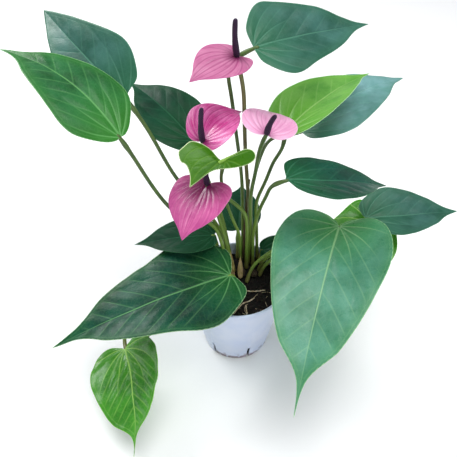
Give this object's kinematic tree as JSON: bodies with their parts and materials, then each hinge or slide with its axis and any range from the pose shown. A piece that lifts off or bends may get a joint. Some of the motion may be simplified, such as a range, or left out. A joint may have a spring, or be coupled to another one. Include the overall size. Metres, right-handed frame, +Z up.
{
  "type": "potted anthurium",
  "caption": "Flowering houseplant with heart-shaped leaves and pink spathes on slender stalks, in a plain tapered nursery pot with drainage slots.",
  "frame": {"origin": "centre of the pot's flat underside", "axes": "+Z up along the pot's axis; the viewer the plant faces stands on the -Y side; +X to that viewer's right"},
  "size_m": [0.5, 0.357, 0.411],
  "materials": {
    "pot_plastic": "satin",
    "potting_mix": "matte",
    "root_fibre": "matte",
    "leaf_dark": "satin",
    "leaf_mid": "satin",
    "leaf_young": "satin",
    "petiole_green": "satin",
    "spathe_pink": "gloss",
    "spathe_pale": "satin",
    "spadix_purple": "matte",
    "sheath_straw": "matte",
    "stem_brown": "matte"
  },
  "bodies": {
    "root": {"crown_left": "stem_brown", "crown_right": "stem_brown", "fibre_a": "root_fibre", "fibre_b": "root_fibre", "fibre_c": "root_fibre", "leaf_back_left": "leaf_dark", "leaf_back_left_high": "leaf_dark", "leaf_back_low": "leaf_dark", "leaf_back_right": "leaf_dark", "leaf_back_right_high": "leaf_dark", "leaf_front_left": "leaf_dark", "leaf_front_right": "leaf_mid", "leaf_left": "leaf_dark", "leaf_left_high": "leaf_mid", "leaf_low_left": "leaf_young", "leaf_newest": "leaf_young", "leaf_right": "leaf_dark", "leaf_right_inner": "leaf_dark", "leaf_right_lower": "leaf_mid", "leaf_right_upper": "leaf_dark", "leaf_right_young": "leaf_young", "old_stem": "stem_brown", "peduncle_front": "petiole_green", "peduncle_middle_left": "petiole_green", "peduncle_middle_right": "petiole_green", "peduncle_top": "stem_brown", "petiole_back_left": "petiole_green", "petiole_back_left_high": "petiole_green", "petiole_back_low": "petiole_green", "petiole_back_right": "petiole_green", "petiole_back_right_high": "petiole_green", "petiole_front_left": "petiole_green", "petiole_front_right": "petiole_green", "petiole_left": "petiole_green", "petiole_left_high": "petiole_green", "petiole_low_left": "petiole_green", "petiole_newest": "petiole_green", "petiole_right": "petiole_green", "petiole_right_inner": "petiole_green", "petiole_right_lower": "petiole_green", "petiole_right_upper": "petiole_green", "petiole_right_young": "petiole_green", "pot": "pot_plastic", "potting_mix": "potting_mix", "sheath_front": "sheath_straw", "sheath_side": "sheath_straw", "spadix_front": "spadix_purple", "spadix_middle_left": "spadix_purple", "spadix_middle_right": "spadix_purple", "spadix_top": "spadix_purple", "spathe_front": "spathe_pink", "spathe_middle_left": "spathe_pink", "spathe_middle_right": "spathe_pale", "spathe_top": "spathe_pink"}
  },
  "joints": []
}
